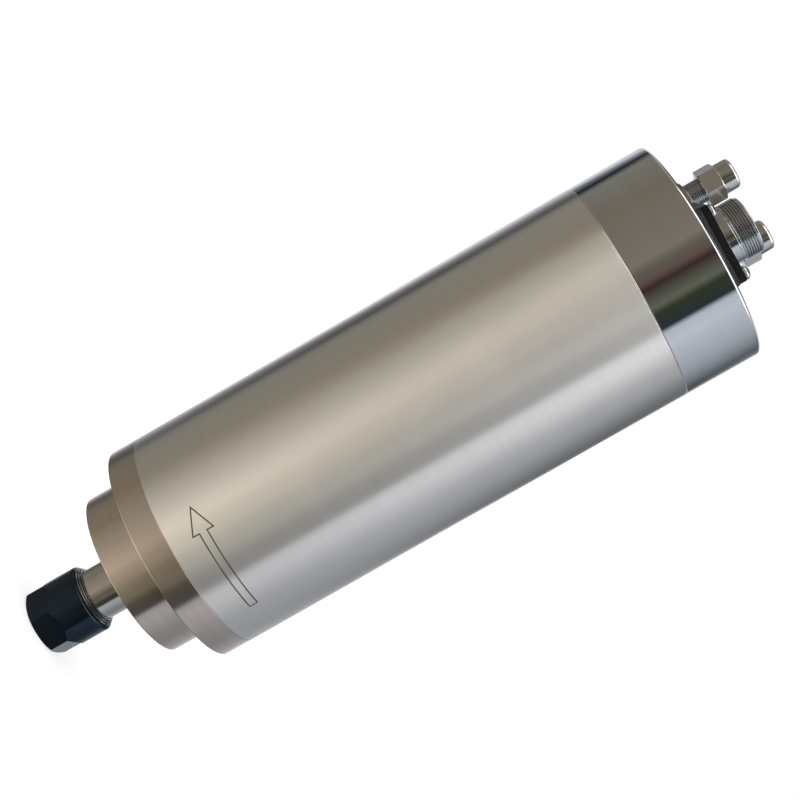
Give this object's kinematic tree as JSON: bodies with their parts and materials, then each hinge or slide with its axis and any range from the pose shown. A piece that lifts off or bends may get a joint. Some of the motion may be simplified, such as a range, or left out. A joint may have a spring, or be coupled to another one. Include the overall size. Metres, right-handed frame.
{
  "type": "motor spindle",
  "caption": "Liquid-cooled electric motor spindle: round clamping barrel, stepped nose with a collet chuck, and a rear cap with a power socket and hose fittings.",
  "frame": {"origin": "on the spindle axis at the middle of the barrel's length", "axes": "+Z along the spindle axis from the collet to the connectors; -Y towards the power socket"},
  "size_m": [0.08, 0.08, 0.2859],
  "materials": {
    "nose_steel": "fine turned stainless steel",
    "barrel_steel": "satin stainless steel, polished along the axis",
    "cap_chrome": "mirror polish",
    "socket_chrome": "bright chrome",
    "fitting_nickel": "bright nickel",
    "nut_black": "black oxide, bare on the rear bevel",
    "ground_steel": "ground steel",
    "black_steel": "black oxide",
    "screw_zinc": "bright zinc",
    "core_iron": "stacked laminations",
    "winding_copper": "lacquered copper",
    "cast_aluminium": "machined",
    "seal_rubber": "matt",
    "insert_black": "moulded",
    "pin_brass": "gold plated",
    "cage_resin": "fabric resin"
  },
  "bodies": {
    "housing": {"front_housing": "nose_steel", "front_ring": "nose_steel", "front_screws": "black_steel", "barrel": "barrel_steel", "water_jacket": "cast_aluminium", "jacket_seals": "seal_rubber", "stator_core": "core_iron", "windings": "winding_copper", "rear_shield": "cast_aluminium", "bearing_cover": "cast_aluminium", "preload_spring": "ground_steel", "rear_cap": "cap_chrome", "cap_screws": "black_steel", "socket_gasket": "seal_rubber", "socket_shell": "socket_chrome", "socket_insert": "insert_black", "contact_pins": "pin_brass", "socket_screws": "screw_zinc", "fitting_washer_1": "fitting_nickel", "fitting_washer_2": "fitting_nickel", "fitting_stem_1": "fitting_nickel", "fitting_stem_2": "fitting_nickel", "coolant_pipe_1": "winding_copper", "coolant_pipe_2": "winding_copper", "front_outer_rings": "ground_steel", "rear_outer_rings": "ground_steel", "outer_spacer": "ground_steel"},
    "rotor": {"shaft": "ground_steel", "dust_cap": "ground_steel", "front_inner_rings": "ground_steel", "inner_spacer": "ground_steel", "bearing_lock_nut": "black_steel", "rear_inner_rings": "ground_steel", "rear_shaft_nut": "black_steel", "rotor_core": "core_iron", "rotor_cage": "cast_aluminium"},
    "front_ball_set": {"front_balls": "ground_steel", "front_cages": "cage_resin"},
    "rear_ball_set": {"rear_balls": "ground_steel", "rear_cages": "cage_resin"},
    "collet_body": {"collet": "ground_steel"},
    "nut_body": {"collet_nut": "nut_black"},
    "clamp_ring_1": {"hose_ferrule_1": "fitting_nickel"},
    "clamp_ring_2": {"hose_ferrule_2": "fitting_nickel"},
    "cap_nut_1": {"hose_nut_1": "fitting_nickel"},
    "cap_nut_2": {"hose_nut_2": "fitting_nickel"}
  },
  "joints": [
    {"name": "rotor_spin", "type": "hinge", "parent": "housing", "child": "rotor", "pos_m": [0, 0, 0], "axis": [0, 0, 1], "continuous": true},
    {"name": "front_cage_spin", "type": "hinge", "parent": "housing", "child": "front_ball_set", "pos_m": [0, 0, 0], "axis": [0, 0, 1], "continuous": true},
    {"name": "rear_cage_spin", "type": "hinge", "parent": "housing", "child": "rear_ball_set", "pos_m": [0, 0, 0], "axis": [0, 0, 1], "continuous": true},
    {"name": "collet_draw", "type": "slide", "parent": "rotor", "child": "collet_body", "axis": [0, 0, -1], "range_m": [0, 0.003]},
    {"name": "nut_turn", "type": "hinge", "parent": "collet_body", "child": "nut_body", "pos_m": [0, 0, -0.1478], "axis": [0, 0, -1], "range_deg": [0, 1080]},
    {"name": "clamp_ring_1_lift", "type": "slide", "parent": "housing", "child": "clamp_ring_1", "axis": [0, 0, 1], "range_m": [0, 0.002]},
    {"name": "cap_nut_1_turn", "type": "hinge", "parent": "clamp_ring_1", "child": "cap_nut_1", "pos_m": [-0.01749, 0.01198, 0.1131], "axis": [0, 0, 1], "range_deg": [0, 720]},
    {"name": "clamp_ring_2_lift", "type": "slide", "parent": "housing", "child": "clamp_ring_2", "axis": [0, 0, 1], "range_m": [0, 0.002]},
    {"name": "cap_nut_2_turn", "type": "hinge", "parent": "clamp_ring_2", "child": "cap_nut_2", "pos_m": [0.00661, 0.0138, 0.1131], "axis": [0, 0, 1], "range_deg": [0, 720]}
  ],
  "couplings": [
    {"joint": "front_cage_spin", "follows": "rotor_spin", "ratio": 0.41481},
    {"joint": "rear_cage_spin", "follows": "rotor_spin", "ratio": 0.40217},
    {"joint": "collet_draw", "follows": "nut_turn", "m_per_rad": 0.00015915},
    {"joint": "clamp_ring_1_lift", "follows": "cap_nut_1_turn", "m_per_rad": 0.00015915},
    {"joint": "clamp_ring_2_lift", "follows": "cap_nut_2_turn", "m_per_rad": 0.00015915}
  ]
}
